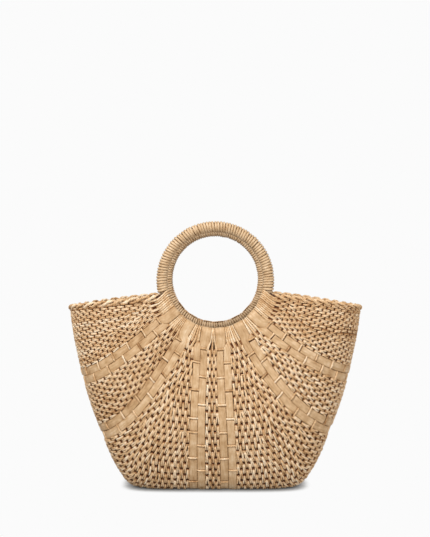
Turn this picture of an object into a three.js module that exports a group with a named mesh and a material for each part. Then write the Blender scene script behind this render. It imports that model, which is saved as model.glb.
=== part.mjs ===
// A straw basket bag: two woven fan-shaped panels that are one sheet, folded under the base,
// hung on two round handle rings. Millimetres, +Z up, front towards -Y, origin under the base centre.
import * as THREE from 'three';

// Driving sizes of the bag
const HALF_WIDTH = 199;
const CORNER_HEIGHT = 238;
const BAG_DEPTH = 153.2;
const PANEL_BELLY = 9;
const BODY_WALL = 2.2;

// Driving sizes of the two handle rings
const RING_RADIUS = 69.3;
const RING_TUBE = 7.6;
const RING_HEIGHT = 277;
const RING_STEP_MARGIN = 2.4;

// Driving sizes of the flat ribbons and the rim braids
const RIBBON_WIDTH = 11;
const RIBBON_WEFT_WIDTH = 8.6;
const RIBBON_RING_WIDTH = 12;
const RIBBON_THICKNESS = 0.9;
const RIBBON_SPLIT = 0.5;
const FIRST_WEFT = 18.5;
const BRAID_HEIGHT = 4;
const BRAID_WIDTH = 5;
const SCALLOP_PITCH = 18;
const SCALLOP_RISE = 1.4;

// Clear gap between two pieces that touch
const CLEARANCE = 0.3;

// Half of the front outline, from the top corner down to the base centre
const OUTLINE = [
  { across: 1.0, up: 1.0 },
  { across: 0.977, up: 0.862 },
  { across: 0.94, up: 0.72 },
  { across: 0.898, up: 0.58 },
  { across: 0.844, up: 0.441 },
  { across: 0.776, up: 0.303 },
  { across: 0.72, up: 0.189 },
  { across: 0.65, up: 0.084 },
  { across: 0.581, up: 0.018 },
  { across: 0.442, up: -0.013 },
  { across: 0.32, up: -0.02 },
];

// Where the strands of the fan start on the ring (degrees below the left horizontal)
// and end on the outline (share of its length, from the left corner)
const RIM_LEFT = { share: 0, angle: 19.5 };
const RIM_RIGHT = { share: 1, angle: 162 };
const BANDS = [
  { share: 0.126, angle: 38.5, lead: 'left', fieldCells: 3 },
  { share: 0.233, angle: 59.8, lead: 'right', fieldCells: 2 },
  { share: 0.468, angle: 80, lead: 'right', fieldCells: 7 },
  { share: 0.524, angle: 95.2, lead: 'left', fieldCells: 3 },
  { share: 0.777, angle: 117.6, lead: 'left', fieldCells: 7 },
  { share: 0.879, angle: 137, lead: 'right', fieldCells: 2 },
];
const LAST_FIELD_CELLS = 3;

// How the panel folds from the ring plane into the bag's middle plane; RIM_LIFT is in degrees
const FOLD_SIDE = 2.7;
const FOLD_BASE = 4.6;
const BASE_REACH = 0.42;
const LEAVE_SHARE = 0.36;
const ARRIVE_SHARE = 0.3;
const SIDE_BELLY = 0.4;
const RIM_LIFT = 14;
const RIM_REACH = 0.1;

// Mesh steps
const HOOK_STEP = 40;
const HOOK_STEPS = 5;
const PANEL_ROWS = 13;
const ROW_CROWDING = 1.6;
const PATH_SAMPLES = 72;
const OUTLINE_SAMPLES = 600;
const MARCH_STEPS = 8;
const MARCH_PROBE = 0.001;
const RING_LOWER_STEPS = 24;
const RING_UPPER_STEPS = 28;
const BRAID_STEPS_A_SCALLOP = 3;
const BRAID_SIDES = 5;

// Sizes that follow from the driving ones
const LOOP_TUBE = RING_TUBE - BODY_WALL - CLEARANCE;
const HOOK_INNER = LOOP_TUBE + CLEARANCE;
const HOOK_OUTER = HOOK_INNER + BODY_WALL;
const RING_HALF_GAP = BAG_DEPTH / 2 - PANEL_BELLY - HOOK_OUTER;
const RIBBON_REST = RIBBON_THICKNESS + CLEARANCE;
const STRAW = 0xbf9569;
const RIBBON_STRAW = 0xc9a77d;
const RING_STRAW = 0xd0ab82;

const lerp = THREE.MathUtils.lerp;
const vector = (x, y, z) => new THREE.Vector3(x, y, z);

// A smooth curve through rising knots that never overshoots between two of them
function monotoneCurve(knots) {
  const slopes = knots.slice(1).map((knot, i) => (knot.y - knots[i].y) / (knot.x - knots[i].x));
  const last = slopes.length - 1;
  const tangents = knots.map((knot, i) => {
    if (i === 0) return slopes[0];
    if (i > last) return slopes[last];
    const before = slopes[i - 1];
    const after = slopes[i];
    return (2 * before * after) / (before + after);
  });
  return (x) => {
    const after = knots.findIndex((knot, i) => i > 0 && (x <= knot.x || i > last));
    const [a, b] = [knots[after - 1], knots[after]];
    const span = b.x - a.x;
    const t = (x - a.x) / span;
    const rise = t * t * (3 - 2 * t);
    const start = t * (1 - t) * (1 - t) * span * tangents[after - 1];
    const end = t * t * (t - 1) * span * tangents[after];
    return lerp(a.y, b.y, rise) + start + end;
  };
}

// The front outline as one curve in the bag's middle plane, left corner to right corner
function makeOutline() {
  const half = OUTLINE.map(({ across, up }) => [across * HALF_WIDTH, up * CORNER_HEIGHT]);
  const left = half.map(([x, z]) => vector(-x, 0, z));
  const right = half.map(([x, z]) => vector(x, 0, z)).reverse();
  const curve = new THREE.CatmullRomCurve3([...left, ...right], false, 'centripetal');
  curve.arcLengthDivisions = OUTLINE_SAMPLES;
  return curve.getSpacedPoints(OUTLINE_SAMPLES);
}

const outlinePoints = makeOutline();
const ringAngle = monotoneCurve([RIM_LEFT, ...BANDS, RIM_RIGHT].map(({ share, angle }) => ({
  x: share,
  y: THREE.MathUtils.degToRad(angle),
})));

function outlineAt(share) {
  const place = THREE.MathUtils.clamp(share, 0, 1) * OUTLINE_SAMPLES;
  const i = Math.min(Math.floor(place), OUTLINE_SAMPLES - 1);
  return outlinePoints[i].clone().lerp(outlinePoints[i + 1], place - i);
}

// The outline's outward direction, in its own plane
function outlineOutward(share) {
  const step = 2 / OUTLINE_SAMPLES;
  const along = outlineAt(share + step).sub(outlineAt(share - step)).normalize();
  return vector(along.z, 0, -along.x);
}

// The direction from a ring's centre to one of its points
function ringOutward(angle) {
  return vector(-Math.cos(angle), 0, -Math.sin(angle));
}

// How a strand leaves the ring: straight out, but nearly level close to a rim
function leavingDirection(share) {
  const rimShare = 1 - THREE.MathUtils.smoothstep(0.5 - Math.abs(share - 0.5), 0, RIM_REACH);
  const lift = THREE.MathUtils.degToRad(RIM_LIFT) * rimShare;
  return ringOutward(ringAngle(share) + (share < 0.5 ? -lift : lift));
}

// One strand of the front panel as a fine line of points, from the ring's front to the fold
function makeStrand(share) {
  const outward = ringOutward(ringAngle(share));
  const start = vector(0, 0, RING_HEIGHT).addScaledVector(outward, RING_RADIUS);
  const edge = outlineAt(share);
  const reach = edge.distanceTo(start);
  const seen = new THREE.CubicBezierCurve3(
    start,
    start.clone().addScaledVector(leavingDirection(share), reach * LEAVE_SHARE),
    edge.clone().addScaledVector(outlineOutward(share), -reach * ARRIVE_SHARE),
    edge,
  );
  const baseShare = THREE.MathUtils.smoothstep(0.5 - Math.abs(share - 0.5), 0, BASE_REACH);
  const power = 2 / lerp(FOLD_SIDE, FOLD_BASE, baseShare);
  const belly = PANEL_BELLY * lerp(SIDE_BELLY, 1, baseShare);
  const points = [];
  for (let i = 0; i <= PATH_SAMPLES; i += 1) {
    const turn = (Math.PI / 2) * (i / PATH_SAMPLES);
    const along = Math.sin(turn) ** power;
    const depth = RING_HALF_GAP + HOOK_OUTER + belly * Math.sin(Math.PI * along) ** 2;
    const point = seen.getPoint(along);
    point.y = -depth * Math.max(Math.cos(turn), 0) ** power;
    points.push(point);
  }
  const lengths = [0];
  for (let i = 1; i < points.length; i += 1) {
    lengths.push(lengths[i - 1] + points[i].distanceTo(points[i - 1]));
  }
  return { points, lengths, total: lengths[lengths.length - 1] };
}

const strandStore = new Map();

function strandAt(share) {
  const key = share.toFixed(6);
  if (!strandStore.has(key)) strandStore.set(key, makeStrand(share));
  return strandStore.get(key);
}

// A point of the panel: share of the outline across, share of the strand's length down
function panelPoint(share, down) {
  const { points, lengths, total } = strandAt(THREE.MathUtils.clamp(share, 0, 1));
  const wanted = down * total;
  const after = Math.max(1, lengths.findIndex((length) => length >= wanted - 1e-9));
  const part = (wanted - lengths[after - 1]) / (lengths[after] - lengths[after - 1]);
  return points[after - 1].clone().lerp(points[after], part);
}

// A point of the hook that the strands make round the ring's lower arc
function hookPoint(share, turn) {
  const outward = ringOutward(ringAngle(share));
  const point = vector(0, 0, RING_HEIGHT);
  point.addScaledVector(outward, RING_RADIUS - HOOK_OUTER * Math.sin(turn));
  point.y = -RING_HALF_GAP - HOOK_OUTER * Math.cos(turn);
  return point;
}

// The sheet's rows on its front half: round the hook, then down the panel to the fold
function makeRows() {
  const rows = [];
  for (let i = HOOK_STEPS; i >= 1; i -= 1) {
    rows.push({ turn: THREE.MathUtils.degToRad(HOOK_STEP * i), down: 0 });
  }
  rows.push({ turn: 0, down: 0 });
  const start = FIRST_WEFT / strandAt(0.5).total;
  for (let i = 0; i < PANEL_ROWS; i += 1) {
    const left = (1 - i / (PANEL_ROWS - 1)) ** ROW_CROWDING;
    rows.push({ turn: 0, down: 1 - (1 - start) * left });
  }
  return rows;
}

const frontRows = makeRows();
const WEFT_ROW = HOOK_STEPS + 1;

function sheetPoint(share, row) {
  return row.turn > 0 ? hookPoint(share, row.turn) : panelPoint(share, row.down);
}

// The share of the outline that lies a signed distance beside another one along a row
function shareBeside(share, distance, row) {
  let place = share;
  for (let i = 0; i < MARCH_STEPS; i += 1) {
    const near = sheetPoint(place - MARCH_PROBE, row);
    const span = near.distanceTo(sheetPoint(place + MARCH_PROBE, row));
    place += (distance / MARCH_STEPS) * ((2 * MARCH_PROBE) / span);
  }
  return place;
}

// How far a band's three edges lie beside its centre: one ribbon on the ring, two on the panel
function bandMarks(lead, row, onRing) {
  if (!onRing) {
    const wide = lerp(RIBBON_WEFT_WIDTH, RIBBON_WIDTH, row.down) + RIBBON_SPLIT;
    return [-wide, 0, wide];
  }
  const half = RIBBON_RING_WIDTH / 2;
  const tucked = 2 * RIBBON_SPLIT;
  return lead === 'left' ? [-half, half, half + tucked] : [-half - tucked, -half, half];
}

// The sheet's columns: each ribbon keeps its width, and the fields between them share the rest
function makeColumns(row, rowIndex) {
  const onRing = rowIndex < WEFT_ROW;
  const columns = [];
  const addField = (from, to, cells) => {
    for (let i = 0; i < cells; i += 1) {
      columns.push({ share: lerp(from, to, i / cells), ribbon: i === 0 });
    }
  };
  let edge = 0;
  for (const band of BANDS) {
    const marks = bandMarks(band.lead, row, onRing);
    const [left, middle, right] = marks.map((mark) => shareBeside(band.share, mark, row));
    addField(edge, left, band.fieldCells);
    columns.push({ share: left, ribbon: true }, { share: middle, ribbon: true });
    edge = right;
  }
  addField(edge, 1, LAST_FIELD_CELLS);
  columns.push({ share: 1, ribbon: false });
  columns[0].ribbon = false;
  return columns;
}

// The whole sheet as a grid of points, front hook to back hook; the base is pressed flat
function makeSheet() {
  const front = frontRows.map((row, rowIndex) => (
    makeColumns(row, rowIndex).map(({ share, ribbon }) => {
      const point = sheetPoint(share, row);
      point.z = Math.max(point.z, ribbon ? RIBBON_REST : 0);
      return point;
    })
  ));
  const mirrored = (line) => line.map(({ x, y, z }) => vector(x, -y, z));
  const back = front.slice(0, -1).reverse().map(mirrored);
  return [...front, ...back];
}

// Outward directions of the sheet, from each point's neighbours
function sheetNormals(sheet) {
  const lastRow = sheet.length - 1;
  const lastColumn = sheet[0].length - 1;
  return sheet.map((line, r) => line.map((point, c) => {
    const down = sheet[Math.min(r + 1, lastRow)][c].clone().sub(sheet[Math.max(r - 1, 0)][c]);
    const across = sheet[r][Math.min(c + 1, lastColumn)].clone().sub(sheet[r][Math.max(c - 1, 0)]);
    return down.cross(across).normalize();
  }));
}

const sheet = makeSheet();
const normals = sheetNormals(sheet);
const ROWS = sheet.length;
const COLUMNS = sheet[0].length;

// Triangles of a grid of points; closed grids wrap round from the last column to the first
function gridFaces(rows, columns, wrap) {
  const faces = [];
  const cells = wrap ? columns : columns - 1;
  for (let r = 0; r < rows - 1; r += 1) {
    for (let c = 0; c < cells; c += 1) {
      const a = r * columns + c;
      const b = r * columns + ((c + 1) % columns);
      faces.push([a, b, b + columns], [a, b + columns, a + columns]);
    }
  }
  return faces;
}

function makeGeometry(points, faces) {
  const geometry = new THREE.BufferGeometry();
  const coordinates = points.flatMap((point) => point.toArray());
  geometry.setAttribute('position', new THREE.Float32BufferAttribute(coordinates, 3));
  geometry.setIndex(faces.flat());
  geometry.computeVertexNormals();
  return geometry;
}

function makeMesh(name, geometry, color, roughness) {
  const material = new THREE.MeshStandardMaterial({ color, roughness, metalness: 0 });
  const mesh = new THREE.Mesh(geometry, material);
  mesh.name = name;
  return mesh;
}

// A closed solid between an outer grid and an inner grid of the same size
function solidFromGrids(outer, inner) {
  const rows = outer.length;
  const columns = outer[0].length;
  const offset = rows * columns;
  const skin = gridFaces(rows, columns, false);
  const outside = skin.map(([a, b, c]) => [a, c, b]);
  const inside = skin.map((face) => face.map((index) => index + offset));
  const faces = [...outside, ...inside];
  const rim = [];
  for (let c = 0; c < columns - 1; c += 1) rim.push(c);
  for (let r = 0; r < rows - 1; r += 1) rim.push(r * columns + columns - 1);
  for (let c = columns - 1; c > 0; c -= 1) rim.push((rows - 1) * columns + c);
  for (let r = rows - 1; r > 0; r -= 1) rim.push(r * columns);
  rim.forEach((a, i) => {
    const b = rim[(i + 1) % rim.length];
    faces.push([a, b, b + offset], [a, b + offset, a + offset]);
  });
  return makeGeometry([...outer.flat(), ...inner.flat()], faces);
}

// A closed solid swept through sections of equal size, with flat ends
function solidFromSections(sections) {
  const sides = sections[0].length;
  const last = (sections.length - 1) * sides;
  const faces = gridFaces(sections.length, sides, true);
  for (let i = 1; i < sides - 1; i += 1) {
    faces.push([0, i + 1, i], [last, last + i, last + i + 1]);
  }
  return makeGeometry(sections.flat(), faces);
}

// The woven body: the sheet with its wall, open at the mouth between the two rims
function makeBody() {
  const inner = sheet.map((line, r) => line.map((point, c) => (
    point.clone().addScaledVector(normals[r][c], -BODY_WALL)
  )));
  return makeMesh('basket_body', solidFromGrids(sheet, inner), STRAW, 0.85);
}

// One flat ribbon on the outside of the body, between two columns of the sheet
function makeRibbon(name, column, firstRow) {
  const outer = [];
  const inner = [];
  for (let r = firstRow; r < ROWS - firstRow; r += 1) {
    const [left, right] = [sheet[r][column], sheet[r][column + 1]];
    const inset = RIBBON_SPLIT / 2 / left.distanceTo(right);
    const out = normals[r][column].clone().add(normals[r][column + 1]).normalize();
    const edges = [inset, 1 - inset].map((part) => left.clone().lerp(right, part));
    inner.push(edges.map((edge) => edge.clone().addScaledVector(out, CLEARANCE)));
    outer.push(edges.map((edge) => edge.clone().addScaledVector(out, RIBBON_REST)));
  }
  return makeMesh(name, solidFromGrids(outer, inner), RIBBON_STRAW, 0.6);
}

function makeRibbons() {
  const ribbons = new THREE.Group();
  let column = 0;
  BANDS.forEach((band, i) => {
    column += band.fieldCells;
    const leadIsLeft = band.lead === 'left';
    ribbons.add(makeRibbon(`ribbon_${i + 1}a`, column, leadIsLeft ? 0 : WEFT_ROW));
    ribbons.add(makeRibbon(`ribbon_${i + 1}b`, column + 1, leadIsLeft ? WEFT_ROW : 0));
    column += 2;
  });
  return ribbons;
}

// A handle ring: thick where cord wraps it, thinner where the body's loops close round it
function makeRing(name, side) {
  const cut = RING_STEP_MARGIN / RING_RADIUS;
  const from = THREE.MathUtils.degToRad(RIM_LEFT.angle) - cut;
  const to = THREE.MathUtils.degToRad(RIM_RIGHT.angle) + cut;
  const stations = [];
  for (let i = 0; i <= RING_LOWER_STEPS; i += 1) {
    stations.push({ angle: lerp(from, to, i / RING_LOWER_STEPS), tube: LOOP_TUBE });
  }
  for (let i = 0; i <= RING_UPPER_STEPS; i += 1) {
    stations.push({ angle: lerp(to, from + 2 * Math.PI, i / RING_UPPER_STEPS), tube: RING_TUBE });
  }
  const sides = 360 / HOOK_STEP;
  const sections = stations.map(({ angle, tube }) => Array.from({ length: sides }, (unused, i) => {
    const turn = THREE.MathUtils.degToRad(HOOK_STEP * i);
    const point = ringOutward(angle).multiplyScalar(RING_RADIUS - tube * Math.sin(turn));
    point.y = side * tube * Math.cos(turn);
    return point;
  }));
  const faces = gridFaces(sections.length + 1, sides, true).map((face) => (
    face.map((index) => index % (sections.length * sides))
  ));
  const facing = side > 0 ? faces : faces.map(([a, b, c]) => [a, c, b]);
  const ring = makeMesh(name, makeGeometry(sections.flat(), facing), RING_STRAW, 0.7);
  ring.position.set(0, side * RING_HALF_GAP, RING_HEIGHT);
  return ring;
}

// The line along one rim edge of the body, as points with their outward and upward directions
function rimLine(column, inwardColumn) {
  const line = [];
  for (let r = WEFT_ROW - 1; r < ROWS - WEFT_ROW + 1; r += 1) {
    const edge = sheet[r][column].clone().addScaledVector(normals[r][column], -BODY_WALL / 2);
    const up = sheet[r][column].clone().sub(sheet[r][inwardColumn]).normalize();
    line.push({ edge, out: normals[r][column], up });
  }
  return line;
}

// A rim braid: a cord with scallops along its top, seated on the body's rim edge
function makeBraid(name, column, inwardColumn) {
  const line = rimLine(column, inwardColumn);
  const lengths = [0];
  for (let i = 1; i < line.length; i += 1) {
    lengths.push(lengths[i - 1] + line[i].edge.distanceTo(line[i - 1].edge));
  }
  const total = lengths[lengths.length - 1];
  const start = RING_TUBE + 2 * CLEARANCE;
  const scallops = Math.max(1, Math.round((total - 2 * start) / SCALLOP_PITCH));
  const steps = scallops * BRAID_STEPS_A_SCALLOP;
  const sections = [];
  for (let i = 0; i <= steps; i += 1) {
    const wanted = lerp(start, total - start, i / steps);
    const after = Math.max(1, lengths.findIndex((length) => length >= wanted));
    const part = (wanted - lengths[after - 1]) / (lengths[after] - lengths[after - 1]);
    const [a, b] = [line[after - 1], line[after]];
    const edge = a.edge.clone().lerp(b.edge, part);
    const out = a.out.clone().lerp(b.out, part).normalize();
    const up = a.up.clone().lerp(b.up, part).normalize();
    const swell = Math.sin((Math.PI * i) / BRAID_STEPS_A_SCALLOP) ** 2;
    const height = BRAID_HEIGHT + SCALLOP_RISE * swell;
    sections.push(Array.from({ length: BRAID_SIDES }, (unused, side) => {
      const turn = (2 * Math.PI * (side + 0.5)) / BRAID_SIDES;
      const lift = CLEARANCE + (height / 2) * (1 + Math.cos(turn));
      const wide = (BRAID_WIDTH / 2) * Math.sin(turn);
      return edge.clone().addScaledVector(up, lift).addScaledVector(out, wide);
    }));
  }
  const facing = column > 0 ? sections : sections.map((section) => section.reverse());
  return makeMesh(name, solidFromSections(facing), STRAW, 0.85);
}

const handles = new THREE.Group();
handles.add(makeRing('handle_ring_front', -1), makeRing('handle_ring_back', 1));

const rims = new THREE.Group();
rims.add(makeBraid('rim_braid_left', 0, 1), makeBraid('rim_braid_right', COLUMNS - 1, COLUMNS - 2));

const bag = new THREE.Group();
bag.add(makeBody(), makeRibbons(), handles, rims);

export default bag;
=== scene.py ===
import bpy
import numpy as np
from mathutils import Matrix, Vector


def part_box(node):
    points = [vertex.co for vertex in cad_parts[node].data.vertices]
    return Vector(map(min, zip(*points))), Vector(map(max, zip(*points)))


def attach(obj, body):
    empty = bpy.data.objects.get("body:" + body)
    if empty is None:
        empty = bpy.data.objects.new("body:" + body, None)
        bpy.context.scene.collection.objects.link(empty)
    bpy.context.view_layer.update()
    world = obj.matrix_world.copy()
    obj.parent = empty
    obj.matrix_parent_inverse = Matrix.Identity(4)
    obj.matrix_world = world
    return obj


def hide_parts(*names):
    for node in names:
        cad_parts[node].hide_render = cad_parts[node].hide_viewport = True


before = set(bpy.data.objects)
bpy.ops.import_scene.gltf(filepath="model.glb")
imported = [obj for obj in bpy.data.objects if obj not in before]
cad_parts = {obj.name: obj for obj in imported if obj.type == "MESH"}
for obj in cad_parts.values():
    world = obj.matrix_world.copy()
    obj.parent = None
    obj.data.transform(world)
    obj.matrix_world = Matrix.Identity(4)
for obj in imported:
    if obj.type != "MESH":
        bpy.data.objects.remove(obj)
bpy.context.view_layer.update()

MM = 0.001
RANDOM = np.random.default_rng(17)

# Sizes of the bag's frame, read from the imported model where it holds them
BODY_LOW, BODY_HIGH = (np.array(corner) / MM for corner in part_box("basket_body"))
RING_LOW, RING_HIGH = (np.array(corner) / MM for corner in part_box("handle_ring_front"))
# Room at each side for the strands' own thickness
SIDE_ROOM = 1.8
HALF_WIDTH = BODY_HIGH[0] - SIDE_ROOM
RING_HALF_GAP = -(RING_LOW[1] + RING_HIGH[1]) / 2
RING_TUBE = 7.6
RING_RADIUS = 69.3
RING_HEIGHT = RING_HIGH[2] - RING_RADIUS - RING_TUBE
CORNER_HEIGHT = 238.0
PANEL_BELLY = 9.0
BODY_WALL = 2.2

# Half of the front outline: shares of the half width and of the corner's height
OUTLINE = np.array([
    (1.0, 1.0),
    (0.977, 0.862),
    (0.94, 0.72),
    (0.898, 0.58),
    (0.844, 0.441),
    (0.776, 0.303),
    (0.72, 0.189),
    (0.65, 0.084),
    (0.581, 0.018),
    (0.442, -0.013),
    (0.32, -0.02),
])

# The fan: each band's share of the outline and angle on the ring, the side of the ribbon that goes
# over the ring, the first row that ribbon a dips under, and how far it lies aside just below the ring
RIM_ANGLES = (19.5, 162.0)
LOOP_ANGLES = (11.5, 169.0)
BANDS = [
    {"share": 0.126, "angle": 38.5, "lead": "left", "first": 0, "aside": 0.0},
    {"share": 0.233, "angle": 59.8, "lead": "right", "first": 0, "aside": 1.5},
    {"share": 0.468, "angle": 80.0, "lead": "right", "first": 2, "aside": -4.5},
    {"share": 0.524, "angle": 95.2, "lead": "left", "first": 0, "aside": 2.8},
    {"share": 0.777, "angle": 117.6, "lead": "left", "first": 2, "aside": 1.0},
    {"share": 0.879, "angle": 137.0, "lead": "right", "first": 2, "aside": 0.0},
]
ASIDE_ROWS = 3.0
SLIP_BAND, SLIP_ROW, SLIP_BY = 2, 11, 2
MIDDLE_FIELD, MIDDLE_PAIRS = 3, 5
FOLD_SIDE, FOLD_BASE, BASE_REACH = 2.7, 4.6, 0.42
LEAVE_SHARE, ARRIVE_SHARE, SIDE_BELLY = 0.36, 0.3, 0.4
RIM_LIFT, RIM_REACH = 14.0, 0.1

# The weave
SPREAD_EARLY, SPREAD_ROWS = 0.4, 0.9
MIDDLE_EARLY, MIDDLE_ROWS = 1.5, 2
BEFORE_WEAVE = -10.0
FIRST_WEFT = 20.5
ROWS = 27
CORD = 1.18
CORD_RISE, CORD_LEAD, CORD_DIVE = 1.5, 0.18, 4.2
CORD_SPREAD, CORD_PINCH, PINCH_LAG = 0.235, 0.38, 1.05
RING_PITCH, FOLD_PITCH, RING_SPREAD, RING_FAT = 3.2, 4.25, 0.06, 0.43
# Painted shade: a flat near-black straw in the weave's middle behind each pair of cords; its spare width,
# thickness, station step, level, and the rows before its pair starts
SHADE_STRAW_SPARE, SHADE_STRAW_THICK, SHADE_STRAW_SKIP, SHADE_STRAW_LEVEL, SHADE_STRAW_EARLY = 0.5, 0.3, 8, -0.9, 2.5
WEFT = 1.3
WEFT_OVER, WEFT_UNDER = 0.2, -0.8
WEFT_BAR, WEFT_BELOW = 1.55, -1.2
# How much lower a weft is shaded where cords cross it (painted shade), and how far in from a ribbon's edges
# its bar begins
WEFT_SHADE, WEFT_BAR_EDGE = 0.9, 0.06
WEFT_END, WEFT_STEP, WEFT_TWIST, WEFT_LOBE = 0.6, 2.2, 17, 0.07
CORD_SIDES, WEFT_SIDES, RIBBON_SIDES = 5, 8, 12
ROOM_RANGE, FAT_RANGE = (0.6, 1.1), (0.74, 1.05)
RIBBON_WIDTH, RIBBON_WEFT_WIDTH, RIBBON_RING_WIDTH = 11.0, 8.6, 13.4
RIBBON_SPLIT, RIBBON_THICKNESS = 0.5, 0.8
RIBBON_OVER, RIBBON_UNDER = 1.0, -0.75
DIP_REACH, DIP_EDGE, DIP_DOWN = 2.2, 1.2, 0.45
RIBBON_ROUND_SIDE, RIBBON_ROUND_TOP = 0.45, 0.6
RIBBON_ON_RING, RIBBON_BELOW_RING = 0.75, -0.6
STRAP_FROM, RIBBON_TONE = 0.5, 0.35
NEWCOMER_ROWS = 4.0
WRAP_PITCH, WRAP_WIDE, WRAP_HIGH = 3.5, 1.66, 1.35
WRAP_TUCK, WRAP_TONE, WRAP_SIDES, WRAP_STEPS_A_TURN = 2.9, 0.3, 8, 18
COVER_BEFORE, COVER_EDGE, COVER_INSIDE, LOOP_EDGE = 1.3, 0.3, 0.15, 0.03
RING_CORE, RING_CORE_SIDES, RING_CORE_STEPS = 3.6, 12, 96
BRAID_PITCH, BRAID_CORD, BRAID_TURN, BRAID_LIFT = 30.0, 1.35, 2.3, 1.3
BRAID_SIDES, BRAID_STEP, BRAID_PLY, BRAID_START = 6, 1.5, 0.75, 4
SLANT_OUTER = 1.6

# Unevenness of hand-made strands: its size, and the number of samples between its turns
UNEVEN = {
    "cord_spread": (0.13, 7),
    "cord_drift": (0.2, 12),
    "cord_rise": (0.12, 11),
    "cord_fat": (0.06, 6),
    "weft_rise": (0.08, 7),
    "weft_drift": (0.3, 9),
    "weft_fat": (0.05, 8),
    "ribbon_drift": (0.18, 25),
    "ribbon_wide": (0.012, 21),
    "wrap_rise": (0.1, 20),
    "wrap_drift": (0.15, 15),
    "wrap_fat": (0.06, 18),
}
DRIFT_ON_RING = 0.3

# The turn over a ring in degrees, and the weave's steps along a strand and across the outline
HOOK_SWEEP = 112.0
HOOK_STEPS, BARE_STEPS, ROW_STEPS = 10, 8, 8
SHARE_STEPS, EASE_STEPS = 800, 80
PATH_STEPS, SPLINE_STEPS = 96, 60
CORD_SKIP = 2

# A flat straw's section, of unit width and thickness
FLAT_SECTION = np.array([(0.5, 0.5), (-0.5, 0.5), (-0.5, -0.5), (0.5, -0.5)])

# Painted shade by height in the weave: the colour is darkest at DARK_LEVEL, and fully lit LIT_REACH above
# or below it.
# On the ring the cords' painted shade is as if they lay RING_SHOWN higher.
RING_SHOWN, DARK_LEVEL, LIT_REACH = 1.2, -0.5, 1.25
# Colour of the painted shade, from the darkest to none
PAINTED_SHADE_STOPS = [
    (0.0, (0.008, 0.002, 0.001)),
    (0.35, (0.36, 0.15, 0.045)),
    (0.7, (0.84, 0.71, 0.54)),
    (1.0, (1.0, 1.0, 1.0)),
]

# Straw colours, from the darkest fibres to the palest
CORD_STOPS = [
    (0.25, (0.36, 0.18, 0.07)),
    (0.38, (0.60, 0.37, 0.18)),
    (0.53, (0.77, 0.54, 0.32)),
    (0.7, (0.92, 0.76, 0.56)),
]
RIBBON_STOPS = [
    (0.3, (0.33, 0.17, 0.065)),
    (0.42, (0.49, 0.30, 0.145)),
    (0.56, (0.60, 0.395, 0.215)),
    (0.74, (0.76, 0.57, 0.37)),
]
WRAP_STOPS = [
    (0.25, (0.36, 0.20, 0.09)),
    (0.45, (0.56, 0.375, 0.205)),
    (0.62, (0.69, 0.50, 0.31)),
    (0.85, (0.84, 0.68, 0.49)),
]
TONE_SHARE, TONE_SHIFT, BLOTCH_SHARE, STREAK_SHARE = 0.085, -0.02, 0.55, 0.5
BLOTCH_SCALE, BLOTCH_DETAIL, STREAK_SCALE, STREAK_DETAIL = 110.0, 3.0, 1.0, 4.0
GROOVE_POWER, FIBRE_RELIEF, BUMP_STRENGTH, BUMP_DEPTH = 0.6, 0.8, 0.55, 0.0004
SPECULAR = 0.35
NO_TWIST = 1e6

# The studio
STUDIO_GREY = 0.965
GLOW_AS_LIGHT = 0.5
# The floor's size, and the reach, samples and colours of the painted contact shadow on it
FLOOR_SIZE, CONTACT_REACH, CONTACT_SAMPLES = 40, 0.012, 16
CONTACT_STOPS = [
    (0.0, (0.02, 0.018, 0.016)),
    (0.45, (0.45, 0.44, 0.43)),
    (0.8, (0.86, 0.86, 0.855)),
    (1.0, (STUDIO_GREY, STUDIO_GREY, STUDIO_GREY)),
]
LIGHTS = [
    {"name": "key", "place": (-0.7, -1.0, 1.4), "size": 0.5, "power": 23},
    {"name": "fill", "place": (0.8, -1.3, 0.35), "size": 1.0, "power": 9.5},
]
LIGHT_TARGET = (0, 0, 0.15)
CAMERA_PLACE, CAMERA_LENS, CAMERA_SENSOR = (-0.0004, -1.062, 0.292), 51.62, 36


def smoothstep(value):
    value = np.clip(value, 0.0, 1.0)
    return value * value * (3 - 2 * value)


def unit(vectors):
    return vectors / np.maximum(np.linalg.norm(vectors, axis=-1, keepdims=True), 1e-9)


def lengths_along(points):
    steps = np.linalg.norm(np.diff(points, axis=0), axis=-1)
    return np.concatenate([np.zeros((1,) + steps.shape[1:]), np.cumsum(steps, axis=0)])


def outline_points():
    """The outline in the bag's middle plane, evenly spaced from the left to the right corner."""
    half = OUTLINE * (HALF_WIDTH, CORNER_HEIGHT)
    knots = np.vstack([half * (-1, 1), half[::-1]])
    knots = np.vstack([2 * knots[0] - knots[1], knots, 2 * knots[-1] - knots[-2]])
    t = np.linspace(0, 1, SPLINE_STEPS, endpoint=False)[:, None]
    spans = []
    for p0, p1, p2, p3 in zip(knots, knots[1:], knots[2:], knots[3:]):
        d0, d1, d2 = (np.sqrt(np.linalg.norm(b - a)) for a, b in ((p0, p1), (p1, p2), (p2, p3)))
        out = ((p1 - p0) / d0 - (p2 - p0) / (d0 + d1) + (p2 - p1) / d1) * d1
        into = ((p2 - p1) / d1 - (p3 - p1) / (d1 + d2) + (p3 - p2) / d2) * d1
        rise = t * t * (3 - 2 * t)
        spans.append(p1 * (1 - rise) + p2 * rise + out * t * (1 - t) ** 2 + into * t * t * (t - 1))
    curve = np.vstack(spans + [knots[-2:-1]])
    length = lengths_along(curve)
    even = np.linspace(0, length[-1], SHARE_STEPS + 1)
    return np.column_stack([np.interp(even, length, curve[:, 0]), np.interp(even, length, curve[:, 1])])


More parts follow.
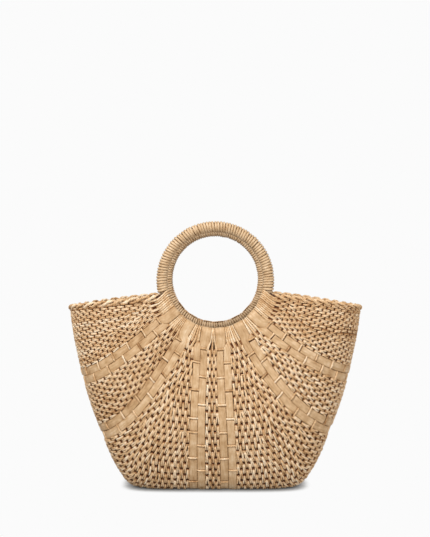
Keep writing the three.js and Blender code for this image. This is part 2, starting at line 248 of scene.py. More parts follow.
def ring_angles(shares):
    """The strand's angle on the ring for each share of the outline, on a curve that never overshoots."""
    x = np.array([0.0] + [band["share"] for band in BANDS] + [1.0])
    y = np.radians([RIM_ANGLES[0]] + [band["angle"] for band in BANDS] + [RIM_ANGLES[1]])
    slope = np.diff(y) / np.diff(x)
    tangent = np.concatenate([slope[:1], 2 * slope[1:] * slope[:-1] / (slope[1:] + slope[:-1]), slope[-1:]])
    i = np.clip(np.searchsorted(x, shares) - 1, 0, len(slope) - 1)
    span = x[i + 1] - x[i]
    t = (shares - x[i]) / span
    rise = t * t * (3 - 2 * t)
    ends = t * (1 - t) ** 2 * span * tangent[i] + t * t * (t - 1) * span * tangent[i + 1]
    return y[i] * (1 - rise) + y[i + 1] * rise + ends


SHARES = np.linspace(0, 1, SHARE_STEPS + 1)


def directions(angle):
    """Directions from a ring's centre, in its plane, at angles below the left horizontal."""
    return np.column_stack([-np.cos(angle), -np.sin(angle)])


def directions_eased(vectors):
    """Directions along the outline, turning evenly round its corners so that no strands cross."""
    turn = np.unwrap(np.arctan2(vectors[:, 1], vectors[:, 0]))
    weight = np.hanning(2 * EASE_STEPS + 1)
    eased = np.convolve(np.pad(turn, EASE_STEPS, mode="edge"), weight / weight.sum(), "valid")
    return np.column_stack([np.cos(eased), np.sin(eased)])


def front_sheet(hook_radius):
    """The outside of the front half: rows from behind the ring over it and down to the fold."""
    angle = ring_angles(SHARES)
    outward = directions(angle)
    centre = np.array([0.0, RING_HEIGHT])
    start = centre + outward * RING_RADIUS
    from_rim = 0.5 - np.abs(SHARES - 0.5)
    turned = np.radians(RIM_LIFT) * (1 - smoothstep(from_rim / RIM_REACH))
    leaving = directions(angle + np.where(SHARES < 0.5, -turned, turned))
    edge = outline_points()
    along = unit(np.gradient(edge, axis=0))
    edge_out = directions_eased(np.column_stack([along[:, 1], -along[:, 0]]))
    reach = np.linalg.norm(edge - start, axis=1)[:, None]
    leave = start + leaving * reach * LEAVE_SHARE
    arrive = edge - edge_out * reach * ARRIVE_SHARE
    near_base = smoothstep(from_rim / BASE_REACH)
    power = 2 / (FOLD_SIDE + (FOLD_BASE - FOLD_SIDE) * near_base)
    belly = PANEL_BELLY * (SIDE_BELLY + (1 - SIDE_BELLY) * near_base)
    turn = np.linspace(0, np.pi / 2, PATH_STEPS + 1)[:, None]
    t = np.sin(turn) ** power
    u = t[..., None]
    seen = (start * (1 - u) ** 3 + 3 * leave * u * (1 - u) ** 2
            + 3 * arrive * u * u * (1 - u) + edge * u ** 3)
    depth = RING_HALF_GAP + hook_radius + belly * np.sin(np.pi * t) ** 2
    path = np.stack([seen[..., 0], -depth * np.maximum(np.cos(turn), 0) ** power, seen[..., 1]], axis=-1)
    length = lengths_along(path)
    first = FIRST_WEFT / length[-1]
    bare = np.linspace(0, 1, BARE_STEPS, endpoint=False)[:, None] * first
    woven = first + (1 - first) * np.linspace(0, 1, ROWS * ROW_STEPS + 1)[:, None]
    down = np.vstack([bare, woven]) * length[-1]
    panel = np.empty(down.shape + (3,))
    for j in range(len(SHARES)):
        for axis in range(3):
            panel[:, j, axis] = np.interp(down[:, j], length[:, j], path[:, j, axis])
    sweep = np.radians(np.linspace(HOOK_SWEEP, 0, HOOK_STEPS, endpoint=False))[:, None]
    radius = RING_RADIUS - hook_radius * np.sin(sweep)
    hook = np.stack([
        outward[:, 0] * radius,
        np.broadcast_to(-RING_HALF_GAP - hook_radius * np.cos(sweep), radius.shape[:1] + angle.shape),
        centre[1] + outward[:, 1] * radius,
    ], axis=-1)
    grid = np.vstack([hook, panel])
    return slant_loops(grid, angle)


def slant_loops(grid, angle):
    """Close to the rims the loops start higher on the ring, and slope down across its front."""
    shift = np.zeros_like(angle)
    for rim, loop, share_from in zip(RIM_ANGLES, LOOP_ANGLES, (SHARES, 1 - SHARES)):
        shift += np.radians(loop - rim) * (1 - smoothstep(share_from / RIM_REACH))
    offset = grid - (0, 0, RING_HEIGHT)
    radius = np.hypot(offset[..., 0], offset[..., 2])
    inner, outer = RING_RADIUS - RING_TUBE, RING_RADIUS + SLANT_OUTER * RING_TUBE
    turn = shift * (1 - smoothstep((radius - inner) / (outer - inner)))
    turn[HOOK_STEPS + BARE_STEPS:] = 0
    c, s = np.cos(turn), np.sin(turn)
    slanted = grid.copy()
    slanted[..., 0] = offset[..., 0] * c + offset[..., 2] * -s
    slanted[..., 2] = offset[..., 0] * s + offset[..., 2] * c + RING_HEIGHT
    return slanted


def grid_normals(grid):
    return unit(np.cross(np.gradient(grid, axis=0), np.gradient(grid, axis=1)))


class Sheet:
    """The middle of the weave as a fine grid, with places measured in millimetres along its rows."""

    def __init__(self):
        front = front_sheet(RING_TUBE)
        outside = np.vstack([front, (front * (1, -1, 1))[-2::-1]])
        self.points = outside - grid_normals(outside) * (BODY_WALL / 2)
        lift = CORD + CORD_RISE
        self.points[..., 2] = np.maximum(self.points[..., 2], lift)
        self.normals = grid_normals(self.points)
        self.across = unit(np.gradient(self.points, axis=1))
        steps = np.linalg.norm(np.diff(self.points, axis=1), axis=2)
        self.reach = np.concatenate([np.zeros((len(steps), 1)), np.cumsum(steps, axis=1)], axis=1)
        self.stations = len(self.points)
        middle = HOOK_STEPS + BARE_STEPS + ROWS * ROW_STEPS
        station = np.arange(self.stations)
        self.row = (station - HOOK_STEPS - BARE_STEPS) / ROW_STEPS
        self.near = ROWS - np.abs(station - middle) / ROW_STEPS
        self.bare = np.clip(1 + self.near * ROW_STEPS / BARE_STEPS, 0, 1)

    def row_station(self, row):
        return HOOK_STEPS + BARE_STEPS + row * ROW_STEPS

    def place(self, station, lateral):
        """Points, normals and sideways directions at distances along one station's row."""
        reach = self.reach[station]
        place = np.interp(lateral, reach, np.arange(len(reach)))
        i = np.minimum(place.astype(int), len(reach) - 2)
        part = (place - i)[..., None]
        mixed = [grid[station, i] * (1 - part) + grid[station, i + 1] * part
                 for grid in (self.points, self.normals, self.across)]
        beyond = lateral - np.clip(lateral, 0, reach[-1])
        mixed[0] = mixed[0] + mixed[2] * beyond[..., None]
        return mixed

    def trace(self, stations, lateral, height):
        """A line through one place at each station, lifted off the sheet by its height."""
        found = [self.place(station, np.array([x])) for station, x in zip(stations, lateral)]
        points = np.array([f[0][0] for f in found])
        normals = np.array([f[1][0] for f in found])
        across = np.array([f[2][0] for f in found])
        return points + normals * np.asarray(height)[:, None], normals, across


SHEET = Sheet()


def band_centre(band):
    """The middle of a band on each station's row, a little aside just below the ring."""
    centre = np.array([np.interp(band["share"], SHARES, reach) for reach in SHEET.reach])
    below = smoothstep((SHEET.bare - STRAP_FROM) / (1 - STRAP_FROM))
    return centre + band["aside"] * below * np.exp(-np.maximum(SHEET.near, 0) / ASIDE_ROWS)


def make_layout():
    """For each station, the sideways edges of the bands' two ribbons and of the fields beside them."""
    ribbons = np.zeros((SHEET.stations, len(BANDS), 2, 2))
    fields = np.zeros((SHEET.stations, len(BANDS), 2))
    strap = 1 - smoothstep((SHEET.bare - STRAP_FROM) / (1 - STRAP_FROM))
    spread = smoothstep((SHEET.near + SPREAD_EARLY) / SPREAD_ROWS)
    down = np.clip(SHEET.near / ROWS, 0, 1)
    wide = RIBBON_WEFT_WIDTH + (RIBBON_WIDTH - RIBBON_WEFT_WIDTH) * down + RIBBON_SPLIT
    half = RIBBON_RING_WIDTH / 2
    for k, band in enumerate(BANDS):
        centre = band_centre(band)
        for number, outer in enumerate((-wide, wide)):
            ribbons[:, k, number] = np.stack([centre, centre + outer], axis=1)
        lead = 0 if band["lead"] == "left" else 1
        on_ring = np.array([half, -half]) if lead == 0 else np.array([-half, half])
        mix = strap[:, None]
        ribbons[:, k, lead] = ribbons[:, k, lead] * (1 - mix) + (centre[:, None] + on_ring) * mix
        reach = half + (wide - half) * spread
        fields[:, k] = np.stack([centre - reach, centre + reach], axis=1)
    ribbons.sort(axis=3)
    return ribbons, fields


RIBBON_EDGES, FIELD_EDGES = make_layout()


def field_edges(field):
    """Left edge and width of one of the seven fields, for each station."""
    left = FIELD_EDGES[:, field - 1, 1] if field > 0 else np.zeros(SHEET.stations)
    right = FIELD_EDGES[:, field, 0] if field < len(BANDS) else SHEET.reach[:, -1]
    return left, right - left


def spread_order(count):
    """The numbers below count, up to 64 of them, ordered so that early ones are spread out."""
    def key(number):
        bits = format(number, "06b")[::-1]
        return int(bits, 2)
    return sorted(range(count), key=key)


def field_births(width):
    """The row at which each block of two cord pairs starts; blocks at the ring start before row 0."""
    rows = np.arange(ROWS + 1)
    at_rows = np.array([width[SHEET.row_station(r)] for r in rows])
    pitch = RING_PITCH + (FOLD_PITCH - RING_PITCH) * rows / ROWS
    room = np.maximum.accumulate(at_rows / (2 * pitch))
    first = max(1, int(round(room[0])))
    last = max(first, int(round(room[-1])))
    births = np.full(last, BEFORE_WEAVE)
    starters = {int((i + 0.5) * last / first) for i in range(first)}
    waiting = [block for block in spread_order(last) if block not in starters]
    for number, block in enumerate(waiting):
        enough = np.nonzero(room >= first + number + 0.5)[0]
        births[block] = rows[enough[0]] if len(enough) else ROWS
    return births


def wobble(count, kind):
    """A random line through count samples, as uneven as UNEVEN says for its kind."""
    size, step = UNEVEN[kind]
    knots = RANDOM.normal(0, size, count // step + 4)
    return np.interp(np.arange(count) / step, np.arange(len(knots)), knots)


def middle_lines():
    """The middle field keeps the same pairs from top to bottom; every second one starts at a weft."""
    left, width = field_edges(MIDDLE_FIELD)
    number = np.arange(MIDDLE_PAIRS)
    grown = smoothstep((SHEET.near + MIDDLE_EARLY) / MIDDLE_ROWS)[:, None]
    weights = np.where(number % 2 == 0, 1.0, grown)
    before = np.cumsum(weights, axis=1) - weights
    total = weights.sum(axis=1)
    return [{"lateral": left + width * (before[:, i] + weights[:, i] / 2) / total,
             "room": width * weights[:, i] / total, "parity": i % 2,
             "start": None if i % 2 == 0 else 0} for i in number]


def pair_lines(field):
    """Each pair of cords in a field: its lateral line, its room, its parity and its first row."""
    if field == MIDDLE_FIELD:
        return middle_lines()
    left, width = field_edges(field)
    births = field_births(width)
    grown = [smoothstep((SHEET.near - birth + NEWCOMER_ROWS / 2) / NEWCOMER_ROWS) for birth in births]
    weights = np.array(grown)
    total = weights.sum(axis=0)
    before = np.cumsum(weights, axis=0) - weights
    pairs = []
    for block, birth in enumerate(births):
        for parity, part in enumerate((0.25, 0.75)):
            lateral = left + width * (before[block] + weights[block] * part) / total
            start = None
            if birth >= 0:
                start = int(np.ceil(birth - 1))
                if (start + parity + field) % 2 == 0:
                    start += 1
            pairs.append({"lateral": lateral, "room": width * weights[block] / total / 2,
                          "parity": (parity + field) % 2, "start": start})
    return [pair for pair in pairs if pair["start"] is None or pair["start"] < ROWS - 1]


FIELDS = [pair_lines(field) for field in range(len(BANDS) + 1)]


def pair_rise(parity):
    """Height of a cord pair for each station: over one weft, under the next, level on the ring."""
    dive = (0.5 - 0.5 * np.cos(np.pi * (SHEET.near + parity + CORD_LEAD))) ** CORD_DIVE
    return CORD_RISE * (1 - 2 * dive) * smoothstep(SHEET.bare)


def section_ring(sides, wide, high, lobes=0, lobe=0.0):
    turn = np.linspace(0, 2 * np.pi, sides, endpoint=False)
    swell = 1 + lobe * np.cos(lobes * turn)
    return np.column_stack([wide * np.cos(turn) * swell, high * np.sin(turn) * swell])


class Strands:
    """Collects closed tubes into one mesh, with texture coordinates and a tone for each strand."""

    def __init__(self):
        self.points, self.faces, self.uvs, self.tones, self.heights = [], [], [], [], []
        self.count = 0

    def add(self, centres, sideways, section, tone, height, normals, twist=None, scale=None):
        steps, sides = len(centres), len(section)
        tangent = unit(np.gradient(centres, axis=0))
        side = unit(sideways - tangent * (sideways * tangent).sum(axis=1, keepdims=True))
        up = np.cross(tangent, side)
        shape = np.broadcast_to(section, (steps, sides, 2))
        if scale is not None:
            shape = shape * np.asarray(scale).reshape(steps, 1, -1)
        if twist is not None:
            c, s = np.cos(twist)[:, None], np.sin(twist)[:, None]
            x, y = shape[..., 0], shape[..., 1]
            shape = np.stack([x * c - y * s, x * s + y * c], axis=-1)
        offset = side[:, None] * shape[..., :1] + up[:, None] * shape[..., 1:]
        tube = centres[:, None] + offset
        index = np.arange(steps * sides).reshape(steps, sides) + self.count
        after = np.roll(index, -1, axis=1)
        quads = np.stack([index[:-1], after[:-1], after[1:], index[1:]], axis=-1).reshape(-1, 4)
        self.points.append(tube.reshape(-1, 3))
        self.faces.extend([quads, index[:1, ::-1], index[-1:]])
        length = lengths_along(centres)
        around = np.arange(sides + 1) / sides
        v = np.stack([length[:-1], length[:-1], length[1:], length[1:]], axis=-1)
        u = np.stack([around[:-1], around[1:], around[1:], around[:-1]], axis=-1)
        quad_uv = np.empty((steps - 1, sides, 4, 2))
        quad_uv[..., 0] = u[None]
        quad_uv[..., 1] = v[:, None]
        self.uvs.extend([quad_uv.reshape(-1, 2), np.zeros((sides, 2)), np.zeros((sides, 2))])
        self.tones.append(np.full(steps * sides, tone))
        heights = np.broadcast_to(height, (steps,))[:, None] + (offset * normals[:, None]).sum(axis=-1)
        self.heights.append(heights.ravel())
        self.count += steps * sides

    def build(self, name, material, nodes):
        points = np.vstack(self.points) * MM
        loops = np.concatenate([face.ravel() for face in self.faces]).astype(np.int32)
        totals = np.concatenate([np.full(len(face), face.shape[1]) for face in self.faces]).astype(np.int32)
        starts = np.concatenate([[0], np.cumsum(totals)[:-1]]).astype(np.int32)
        mesh = bpy.data.meshes.new(name)
        mesh.vertices.add(len(points))
        mesh.vertices.foreach_set("co", points.ravel().astype(np.float32))
        mesh.loops.add(len(loops))
        mesh.loops.foreach_set("vertex_index", loops)
        mesh.polygons.add(len(totals))
        mesh.polygons.foreach_set("loop_start", starts)
        mesh.polygons.foreach_set("loop_total", totals)
        mesh.update(calc_edges=True)
        layer = mesh.uv_layers.new(name="strand")
        layer.data.foreach_set("uv", np.vstack(self.uvs).ravel().astype(np.float32))
        for title, values in (("tone", self.tones), ("height", self.heights)):
            data = mesh.attributes.new(title, "FLOAT", "POINT")
            data.data.foreach_set("value", np.concatenate(values).astype(np.float32))
        mesh.polygons.foreach_set("use_smooth", np.ones(len(totals), bool))
        mesh.materials.append(material)
        piece = bpy.data.objects.new(name, mesh)
        bpy.context.collection.objects.link(piece)
        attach(piece, "root")
        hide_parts(*nodes)
        return piece


def add_core(strands, pair):
    """A flat straw behind a pair of cords, near-black as painted shade, so that the gaps beside them show
    shade and not what is beyond.
    """
    stations = np.arange(HOOK_STEPS, SHEET.stations - HOOK_STEPS, SHADE_STRAW_SKIP)
    if pair["start"] is not None:
        stations = stations[SHEET.near[stations] >= pair["start"] - SHADE_STRAW_EARLY]
    level = np.full(len(stations), SHADE_STRAW_LEVEL)
    points, normals, across = SHEET.trace(stations, pair["lateral"][stations], level)
    wide = pair["room"][stations] + SHADE_STRAW_SPARE
    scale = np.column_stack([wide, np.full(len(stations), SHADE_STRAW_THICK)])
    strands.add(points, across, FLAT_SECTION, 0.0, DARK_LEVEL, normals, scale=scale)


def make_warp(field, material):
    """All cord pairs of one field, each pair over one weft and under the next."""
    strands = Strands()
    section = section_ring(CORD_SIDES, CORD, CORD)
    every = np.arange(0, SHEET.stations, CORD_SKIP)
    woven = smoothstep(SHEET.bare)
    for pair in FIELDS[field]:
        # Behind each pair, a near-black flat straw of painted shade
        add_core(strands, pair)
        height = pair_rise(pair["parity"])
        room = np.clip(pair["room"], ROOM_RANGE[0] * RING_PITCH, ROOM_RANGE[1] * FOLD_PITCH)
        swing = CORD_PINCH * np.cos(np.pi * (SHEET.near + pair["parity"]) - PINCH_LAG) * woven
        spread = room * (RING_SPREAD + (CORD_SPREAD - RING_SPREAD) * woven) * (1 + swing)
        spread = spread * (1 + wobble(SHEET.stations, "cord_spread") * woven)
        fat = np.clip(room / FOLD_PITCH, *FAT_RANGE) * woven + room * RING_FAT / CORD * (1 - woven)
        stations = every
        if pair["start"] is not None:
            stations = every[SHEET.near[every] >= pair["start"]]
        for hand in (-1, 1):
            drift = wobble(SHEET.stations, "cord_drift") * (DRIFT_ON_RING + (1 - DRIFT_ON_RING) * woven)
            lateral = (pair["lateral"] + hand * spread + drift)[stations]
            rise = (height + wobble(SHEET.stations, "cord_rise"))[stations]
            points, normals, across = SHEET.trace(stations, lateral, rise)
            scale = fat[stations] * (1 + wobble(len(stations), "cord_fat"))
            # Painted shade: on the ring the cords are shaded as if they lay RING_SHOWN higher, so they are
            # lighter there
            shown = rise + RING_SHOWN * (1 - woven[stations])
            strands.add(points, across, section, RANDOM.normal(0, 1), shown, normals, scale=scale)
    return strands.build(f"warp_field_{field + 1}", material, ["basket_body"])


def crossing_heights(row):
    """Where the strands cross one weft row, how far each pushes the weft, and how much painted shade it
    puts on the weft.
    """
    station = SHEET.row_station(row)
    near = min(row, 2 * ROWS - row)
    places, pushes, painted_shades = [], [], []
    for pairs in FIELDS:
        for pair in pairs:
            if pair["start"] is not None and near < pair["start"]:
                continue
            places.append(pair["lateral"][station])
            pushes.append(WEFT_UNDER if (row + pair["parity"]) % 2 == 0 else WEFT_OVER)
            painted_shades.append(WEFT_SHADE)
    for k in range(len(BANDS)):
        for number, (a, b) in enumerate(RIBBON_EDGES[station, k]):
            push = WEFT_BAR if ribbon_away(k, number, row) % 4 == 0 else WEFT_BELOW
            places.extend([a + (b - a) * WEFT_BAR_EDGE, a + (b - a) * (1 - WEFT_BAR_EDGE)])
            pushes.extend([push, push])
            painted_shades.extend([0.0, 0.0])
    order = np.argsort(places)
    return np.array(places)[order], np.array(pushes)[order], np.array(painted_shades)[order]


def ribbon_away(k, number, row):
    """Rows since a ribbon's first dip; it dips at every fourth, and one band slips by two rows."""
    slipped = SLIP_BY * (row > SLIP_ROW) if k == SLIP_BAND else 0
    return row + slipped - BANDS[k]["first"] - 2 * number


def make_wefts(name, rows, material):
    """The two-ply weft cords, one round the bag from rim to rim at each row."""
    strands = Strands()
    section = section_ring(WEFT_SIDES, WEFT, WEFT, lobes=2, lobe=WEFT_LOBE)
    for row in rows:
        station = SHEET.row_station(row)
        total = SHEET.reach[station, -1]
        lateral = np.linspace(-WEFT_END, total + WEFT_END, int(total / WEFT_STEP))
        places, pushes, painted_shades = crossing_heights(row)
        height = np.interp(lateral, places, pushes) + wobble(len(lateral), "weft_rise")
        # Painted shade: where cords cross it the weft is shaded as if it lay lower; its bars over the
        # ribbons are not
        shown = height - np.interp(lateral, places, painted_shades)
        points, normals, across = SHEET.place(station, lateral)
        forward = np.cross(across, normals)
        drift = wobble(len(lateral), "weft_drift")
        points = points + normals * height[:, None] + forward * drift[:, None]
        twist = lateral * (2 * np.pi / WEFT_TWIST)
        fat = 1 + wobble(len(lateral), "weft_fat")
        strands.add(points, normals, section, RANDOM.normal(0, 1), shown, normals, twist=twist, scale=fat)
    return strands.build(name, material, ["basket_body"])


def ribbon_section():
    """A flat ribbon's section of unit width: a little crowned, with rounded edges."""
    turn = np.linspace(0, 2 * np.pi, RIBBON_SIDES, endpoint=False)
    wide = np.sign(np.cos(turn)) * np.abs(np.cos(turn)) ** RIBBON_ROUND_SIDE / 2
    high = np.sign(np.sin(turn)) * np.abs(np.sin(turn)) ** RIBBON_ROUND_TOP / 2
    return np.column_stack([wide, high])


def ribbon_height(k, number, lateral):
    """Height of a ribbon for each station: over the wefts, with a short dip under every fourth."""
    every = np.arange(SHEET.stations)
    length = lengths_along(SHEET.trace(every, lateral, np.zeros(len(every)))[0])
    row_length = np.abs(np.gradient(length) * ROW_STEPS)
    away = (ribbon_away(k, number, SHEET.row) + 2) % 4 - 2
    down = np.where(SHEET.row < ROWS, 1, -1)
    miss = np.abs(away * row_length - DIP_DOWN * down)
    dips = smoothstep((DIP_REACH - miss) / DIP_EDGE)
    return RIBBON_OVER + (RIBBON_UNDER - RIBBON_OVER) * dips


def make_ribbon(k, number, material):
    """One flat ribbon of a pair, over three wefts and under one; only the lead one covers the rings."""
    band = BANDS[k]
    letter = "ab"[number]
    lead = (band["lead"] == "left") == (number == 0)
    left, right = RIBBON_EDGES[:, k, number].T
    height = ribbon_height(k, number, (left + right) / 2)
    ring_height = RIBBON_ON_RING if lead else RIBBON_BELOW_RING
    height = ring_height + (height - ring_height) * smoothstep(SHEET.bare * 2 - 1)
    stations = np.arange(SHEET.stations)
    if not lead:
        stations = stations[SHEET.bare > STRAP_FROM]
    lateral = ((left + right) / 2 + wobble(SHEET.stations, "ribbon_drift"))[stations]
    rise = height[stations]
    width = (right - left - RIBBON_SPLIT / 2)[stations] * (1 + wobble(len(stations), "ribbon_wide"))
    points, normals, across = SHEET.trace(stations, lateral, rise)
    strands = Strands()
    scale = np.column_stack([width, np.full(len(stations), RIBBON_THICKNESS)])
    tone = RANDOM.normal(0, RIBBON_TONE)
    # Painted shade: the ribbon is darker where it lies low, at its dips under the wefts and just below the
    # ring
    strands.add(points, across, ribbon_section(), tone, rise, normals, scale=scale)
    name = f"ribbon_{k + 1}{letter}"
    return strands.build(f"straw_{name}", material, [name])


def ring_line(angles, side):
    """Points of a ring's centre line with the direction away from the ring's centre."""
    outward = np.column_stack([-np.cos(angles), 0 * angles, -np.sin(angles)])
    centre = np.array([0, side * RING_HALF_GAP, RING_HEIGHT])
    return centre + outward * RING_RADIUS, outward


def wrap_radius(angles, turn, side):
    """Distance of the wrapping from the ring's centre line: less where the body's loops cover it."""
    toward_hole, toward_outside = -np.cos(turn), side * np.sin(turn)
    sweep = np.arctan2(toward_hole, toward_outside)
    reach = np.radians(HOOK_SWEEP)
    begun = smoothstep((sweep + COVER_BEFORE) / COVER_EDGE)
    covered = begun * (1 - smoothstep((sweep - reach + COVER_INSIDE) / COVER_EDGE))
    first, last = np.radians(LOOP_ANGLES)
    lower = smoothstep((angles - first) / LOOP_EDGE) * smoothstep((last - angles) / LOOP_EDGE)
    return RING_TUBE - WRAP_HIGH - WRAP_TUCK * covered * lower


def make_ring(label, side, core_material, wrap_material):
    """A ring's stiff core, and the cord wound all round it."""
    angles = np.linspace(0, 2 * np.pi, RING_CORE_STEPS + 1)
    points, outward = ring_line(angles, side)
    strands = Strands()
    section = section_ring(RING_CORE_SIDES, RING_CORE, RING_CORE)
    # Painted shade: the core is darkest on its front and back, where it shows between the wrap's turns
    strands.add(points, outward, section, 0.0, 0.0, outward)
    strands.build(f"ring_core_{label}", core_material, [f"handle_ring_{label}"])
    turns = round(2 * np.pi * RING_RADIUS / WRAP_PITCH)
    steps = turns * WRAP_STEPS_A_TURN
    angles = np.linspace(0, 2 * np.pi, steps + 1)
    points, outward = ring_line(angles, side)
    turn = np.linspace(0, 2 * np.pi * turns, steps + 1)
    away = outward * np.cos(turn)[:, None] + np.array([0.0, 1.0, 0.0]) * np.sin(turn)[:, None]
    along = unit(np.gradient(points, axis=0))
    radius = wrap_radius(angles, turn, side) + wobble(steps + 1, "wrap_rise")
    line = points + away * radius[:, None] + along * wobble(steps + 1, "wrap_drift")[:, None]
    strands = Strands()
    wide = 1 + wobble(steps + 1, "wrap_fat")
    section = section_ring(WRAP_SIDES, WRAP_WIDE, WRAP_HIGH)
    # Painted shade: each turn of the wrap is darker on its side towards the core, so the grooves between
    # turns look shaded
    strands.add(line, along, section, WRAP_TONE, 0.0, away, scale=wide)
    return strands.build(f"ring_wrap_{label}", wrap_material, [f"handle_ring_{label}"])


def make_rim(label, material):
    """The rim's twisted edge: two pairs of cords turning round each other from ring to ring."""
    edge_index = 0 if label == "left" else -1
    sign = -1 if label == "left" else 1
    first = HOOK_STEPS + BRAID_START
    stations = np.arange(first, SHEET.stations - first)
    edge = SHEET.points[stations, edge_index]
    out = SHEET.across[stations, edge_index] * sign
    normals = SHEET.normals[stations, edge_index]
    length = lengths_along(edge)
    fine = np.linspace(0, length[-1], int(length[-1] / BRAID_STEP))
    edge, out, normals = (np.column_stack([np.interp(fine, length, grid[:, axis]) for axis in range(3)])
                          for grid in (edge, out, normals))
    turns = round(fine[-1] / BRAID_PITCH)
    strands = Strands()
    for strand in range(2):
        phase = 2 * np.pi * turns * fine / fine[-1] + np.pi * strand
        lift = BRAID_LIFT + BRAID_TURN * np.cos(phase)
        push = BRAID_TURN * np.sin(phase)
        for hand in (-1, 1):
            own = phase * 2 + hand * np.pi / 2
            wide = lift + BRAID_PLY * np.cos(own)
            deep = push + BRAID_PLY * np.sin(own)
            away = out * wide[:, None] + normals * deep[:, None]
            round_core = unit(away - out * BRAID_LIFT)
            tone = RANDOM.normal(0, 1)
            section = section_ring(BRAID_SIDES, BRAID_CORD, BRAID_CORD)
            strands.add(edge + away, out, section, tone, BRAID_TURN, round_core)
    return strands.build(f"rim_cords_{label}", material, [f"rim_braid_{label}"])


def new_material(name):
    material = bpy.data.materials.new(name)
    material.use_nodes = True
    nodes = material.node_tree.nodes
    return material, nodes, material.node_tree.links, nodes["Principled BSDF"]


def math_node(nodes, links, kind, *values):
    node = nodes.new("ShaderNodeMath")
    node.operation = kind
    for socket, value in zip(node.inputs, values):
        if isinstance(value, (int, float)):
            socket.default_value = value
        else:
            links.new(value, socket)
    return node.outputs[0]


def ramp_node(nodes, links, factor, stops):
    node = nodes.new("ShaderNodeValToRGB")
    ramp = node.color_ramp
    while len(ramp.elements) < len(stops):
        ramp.elements.new(0.5)
    for element, (place, color) in zip(ramp.elements, stops):
        element.position = place
        element.color = (*color, 1)
    links.new(factor, node.inputs[0])
    return node.outputs[0]


def attribute_node(nodes, name):
    node = nodes.new("ShaderNodeAttribute")
    node.attribute_name = name
    return node.outputs["Fac"]


def noise_node(nodes, links, vector, scale, detail=2.0):
    node = nodes.new("ShaderNodeTexNoise")
    node.inputs["Scale"].default_value = scale
    node.inputs["Detail"].default_value = detail
    links.new(vector, node.inputs["Vector"])
    return node.outputs["Fac"]


def strand_coordinates(nodes, links, around, along):
    """Texture coordinates of a strand, stretched: around the strand and along it in millimetres."""
    uv = nodes.new("ShaderNodeUVMap")
    uv.uv_map = "strand"
    mapping = nodes.new("ShaderNodeMapping")
    mapping.inputs["Scale"].default_value = (around, along, 1.0)
    links.new(uv.outputs[0], mapping.inputs["Vector"])
    return mapping.outputs[0]


def straw_material(name, stops, roughness, ply_length, ply_groove_shade, fibre, shade):
    """Twisted straw: tone and fibres colour it, and painted shade darkens it in the grooves of its twist
    and in the weave's middle.
    """
    material, nodes, links, surface = new_material(name)
    tone = attribute_node(nodes, "tone")
    # Painted shade in the weave's middle: darkest where the height attribute is at DARK_LEVEL, fully lit
    # LIT_REACH from it
    raised = math_node(nodes, links, "SUBTRACT", attribute_node(nodes, "height"), DARK_LEVEL)
    from_dark = math_node(nodes, links, "ABSOLUTE", raised)
    open_part = nodes.new("ShaderNodeMapRange")
    open_part.interpolation_type = "SMOOTHSTEP"
    open_part.inputs["From Min"].default_value = 0.0
    open_part.inputs["From Max"].default_value = LIT_REACH
    links.new(from_dark, open_part.inputs["Value"])
    place = nodes.new("ShaderNodeTexCoord").outputs["Object"]
    blotch = noise_node(nodes, links, place, BLOTCH_SCALE, BLOTCH_DETAIL)
    along_fibres = strand_coordinates(nodes, links, *fibre)
    streaks = noise_node(nodes, links, along_fibres, STREAK_SCALE, STREAK_DETAIL)
    mixed = math_node(nodes, links, "MULTIPLY_ADD", tone, TONE_SHARE, TONE_SHIFT)
    for pattern, share in ((blotch, BLOTCH_SHARE), (streaks, STREAK_SHARE)):
        mixed = math_node(nodes, links, "ADD", mixed, math_node(nodes, links, "MULTIPLY", pattern, share))
    color = ramp_node(nodes, links, mixed, stops)
    # Painted shade along the grooves of the twist; the same grooves also shape the bump
    uv = nodes.new("ShaderNodeSeparateXYZ")
    links.new(strand_coordinates(nodes, links, 2 * np.pi, 2 * np.pi / ply_length), uv.inputs[0])
    turn = math_node(nodes, links, "ADD", uv.outputs[0], uv.outputs[1])
    groove = math_node(nodes, links, "ABSOLUTE", math_node(nodes, links, "SINE", turn))
    low = math_node(nodes, links, "POWER", groove, GROOVE_POWER)
    groove_light = math_node(nodes, links, "MULTIPLY_ADD", low, ply_groove_shade, 1 - ply_groove_shade)
    depth_light = math_node(nodes, links, "MULTIPLY_ADD", open_part.outputs["Result"], shade, 1 - shade)
    light = math_node(nodes, links, "MULTIPLY", groove_light, depth_light)
    # Both painted shades darken the straw's colour
    tinted = nodes.new("ShaderNodeMix")
    tinted.data_type = "RGBA"
    tinted.blend_type = "MULTIPLY"
    tinted.inputs[0].default_value = 1.0
    links.new(color, tinted.inputs[6])
    links.new(ramp_node(nodes, links, light, PAINTED_SHADE_STOPS), tinted.inputs[7])
    links.new(tinted.outputs[2], surface.inputs["Base Color"])
    surface.inputs["Roughness"].default_value = roughness
    surface.inputs["Specular IOR Level"].default_value = SPECULAR
    relief = math_node(nodes, links, "ADD", low, math_node(nodes, links, "MULTIPLY", streaks, FIBRE_RELIEF))
    bump = nodes.new("ShaderNodeBump")
    bump.inputs["Strength"].default_value = BUMP_STRENGTH
    bump.inputs["Distance"].default_value = BUMP_DEPTH
    links.new(relief, bump.inputs["Height"])
    links.new(bump.outputs[0], surface.inputs["Normal"])
    return material


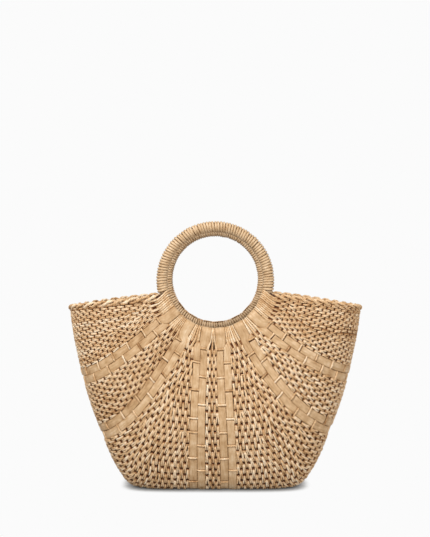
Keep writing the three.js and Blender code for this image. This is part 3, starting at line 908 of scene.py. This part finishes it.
def make_materials():
    """Each material: colours, roughness, ply length and painted shade in its grooves, fibre scale round and
    along, and painted shade in the weave's middle.
    """
    return {
        "cord": straw_material("straw_cord", CORD_STOPS, 0.6, 9.0, 0.25, (3.0, 0.35), 0.95),
        "weft": straw_material("straw_weft", CORD_STOPS, 0.6, 8.5, 0.1, (3.0, 0.35), 0.95),
        "ribbon": straw_material("straw_ribbon", RIBBON_STOPS, 0.5, NO_TWIST, 0.42, (22.0, 0.07), 0.9),
        "wrap": straw_material("ring_wrap", WRAP_STOPS, 0.5, 14.0, 0.12, (5.0, 0.22), 0.6),
        "core": straw_material("ring_core", CORD_STOPS, 0.7, 6.0, 0.2, (8.0, 0.3), 0.9),
    }


def glow_strength(nodes, links):
    """Full strength for what the camera sees, and less of it as light on the bag."""
    sight = nodes.new("ShaderNodeLightPath").outputs["Is Camera Ray"]
    return math_node(nodes, links, "MULTIPLY_ADD", sight, 1 - GLOW_AS_LIGHT, GLOW_AS_LIGHT)


def make_floor():
    """A wide pale floor that glows evenly, with a painted contact shadow where the bag comes close to it.
    """
    bpy.ops.mesh.primitive_plane_add(size=FLOOR_SIZE)
    floor = bpy.context.object
    floor.name = "floor"
    material, nodes, links, surface = new_material("pale_floor")
    nodes.remove(surface)
    closeness = nodes.new("ShaderNodeAmbientOcclusion")
    closeness.samples = CONTACT_SAMPLES
    closeness.inputs["Distance"].default_value = CONTACT_REACH
    shade = ramp_node(nodes, links, closeness.outputs["AO"], CONTACT_STOPS)
    glow = nodes.new("ShaderNodeEmission")
    links.new(shade, glow.inputs["Color"])
    links.new(glow_strength(nodes, links), glow.inputs["Strength"])
    links.new(glow.outputs[0], nodes["Material Output"].inputs["Surface"])
    floor.data.materials.append(material)


def make_light(name, place, size, power):
    data = bpy.data.lights.new(name, "AREA")
    data.shape = "DISK"
    data.size = size
    data.energy = power
    lamp = bpy.data.objects.new(name, data)
    lamp.location = place
    lamp.rotation_euler = (Vector(LIGHT_TARGET) - Vector(place)).to_track_quat("-Z", "Y").to_euler()
    bpy.context.collection.objects.link(lamp)


def make_world():
    world = bpy.data.worlds.new("studio")
    world.use_nodes = True
    nodes, links = world.node_tree.nodes, world.node_tree.links
    back = nodes["Background"]
    back.inputs["Color"].default_value = (STUDIO_GREY, STUDIO_GREY, STUDIO_GREY, 1)
    links.new(glow_strength(nodes, links), back.inputs["Strength"])
    bpy.context.scene.world = world


def make_camera():
    data = bpy.data.cameras.new("camera")
    data.sensor_width = CAMERA_SENSOR
    data.lens = CAMERA_LENS
    data.clip_start = 0.01
    data.clip_end = 100
    camera = bpy.data.objects.new("camera", data)
    camera.location = CAMERA_PLACE
    camera.rotation_euler = (np.pi / 2, 0, 0)
    bpy.context.collection.objects.link(camera)
    bpy.context.scene.camera = camera


def make_bag():
    materials = make_materials()
    for field in range(len(FIELDS)):
        make_warp(field, materials["cord"])
    make_wefts("weft_cords_front", range(0, ROWS + 1), materials["weft"])
    make_wefts("weft_cords_back", range(ROWS + 1, 2 * ROWS + 1), materials["weft"])
    for k in range(len(BANDS)):
        for number in range(2):
            make_ribbon(k, number, materials["ribbon"])
    for label, side in (("front", -1), ("back", 1)):
        make_ring(label, side, materials["core"], materials["wrap"])
    for label in ("left", "right"):
        make_rim(label, materials["cord"])


make_camera()
make_world()
make_floor()
for light in LIGHTS:
    make_light(**light)
make_bag()
bpy.context.scene.view_settings.view_transform = "Standard"
